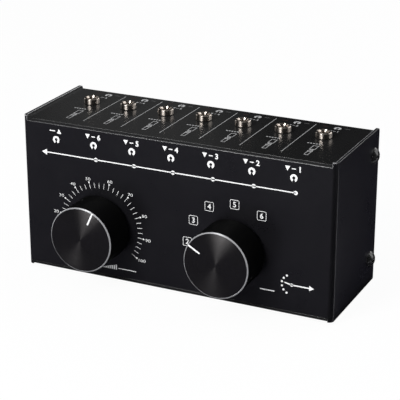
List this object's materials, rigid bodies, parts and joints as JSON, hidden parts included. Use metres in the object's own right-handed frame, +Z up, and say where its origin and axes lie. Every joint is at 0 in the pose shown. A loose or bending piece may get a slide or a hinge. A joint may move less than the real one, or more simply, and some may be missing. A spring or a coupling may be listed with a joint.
{
  "type": "audio source selector",
  "caption": "Small black sheet-metal box with a row of round audio plug sockets on top, a turning level knob and a stepped source knob on the front.",
  "frame": {"origin": "on the table under the middle of the whole part, knobs included", "axes": "+X to the right as seen from the front, +Y to the rear, +Z up"},
  "size_m": [0.1544, 0.0702, 0.0754],
  "materials": {
    "case_paint": "satin black powder coat",
    "chassis_paint": "semi-gloss black paint",
    "screw_black": "black oxide",
    "foot_rubber": "matt rubber",
    "nickel": "polished nickel",
    "socket_plastic": "moulded",
    "contact_brass": "bright",
    "board": "solder mask",
    "red_wire": "insulation",
    "grey_wire": "insulation",
    "steel": "zinc plated",
    "shaft_metal": "turned",
    "wafer": "phenolic",
    "hub_plastic": "moulded",
    "knob_black": "black anodised, turned face"
  },
  "bodies": {
    "case": {"front_cover": "case_paint", "rear_chassis": "chassis_paint", "top_plate": "chassis_paint", "cover_screws": "screw_black", "rubber_feet": "foot_rubber", "jack_nuts": "nickel", "sleeve_out": "nickel", "sleeve_in_6": "nickel", "sleeve_in_5": "nickel", "sleeve_in_4": "nickel", "sleeve_in_3": "nickel", "sleeve_in_2": "nickel", "sleeve_in_1": "nickel", "housing_out": "socket_plastic", "housing_in_6": "socket_plastic", "housing_in_5": "socket_plastic", "housing_in_4": "socket_plastic", "housing_in_3": "socket_plastic", "housing_in_2": "socket_plastic", "housing_in_1": "socket_plastic", "contacts_out": "contact_brass", "contacts_in_6": "contact_brass", "contacts_in_5": "contact_brass", "contacts_in_4": "contact_brass", "contacts_in_3": "contact_brass", "contacts_in_2": "contact_brass", "contacts_in_1": "contact_brass", "jack_board": "board", "volume_wires": "red_wire", "selector_wires": "grey_wire", "volume_bush": "steel", "volume_washer": "steel", "volume_lock_nut": "steel", "volume_can": "steel", "volume_tracks": "wafer", "volume_lugs": "contact_brass", "selector_bush": "steel", "selector_washer": "steel", "selector_lock_nut": "steel", "selector_barrel": "socket_plastic", "selector_index_ring": "steel", "selector_wafer": "wafer", "selector_studs": "contact_brass"},
    "volume_control": {"volume_shaft": "shaft_metal", "volume_clip": "steel", "volume_wipers": "wafer", "volume_knob": "knob_black", "volume_grub_screw": "screw_black"},
    "selector_control": {"selector_shaft": "shaft_metal", "selector_clip": "steel", "selector_hub": "hub_plastic", "selector_balls": "steel", "selector_springs": "steel", "selector_wipers": "contact_brass", "selector_knob": "knob_black", "selector_grub_screw": "screw_black"}
  },
  "joints": [
    {"name": "volume_turn", "type": "hinge", "parent": "case", "child": "volume_control", "pos_m": [-0.0365, -0.0169, 0.0264], "axis": [0, 1, 0], "range_deg": [-149, 99]},
    {"name": "selector_turn", "type": "hinge", "parent": "case", "child": "selector_control", "pos_m": [0.0287, -0.0169, 0.0264], "axis": [0, 1, 0], "range_deg": [-60, 90]}
  ]
}
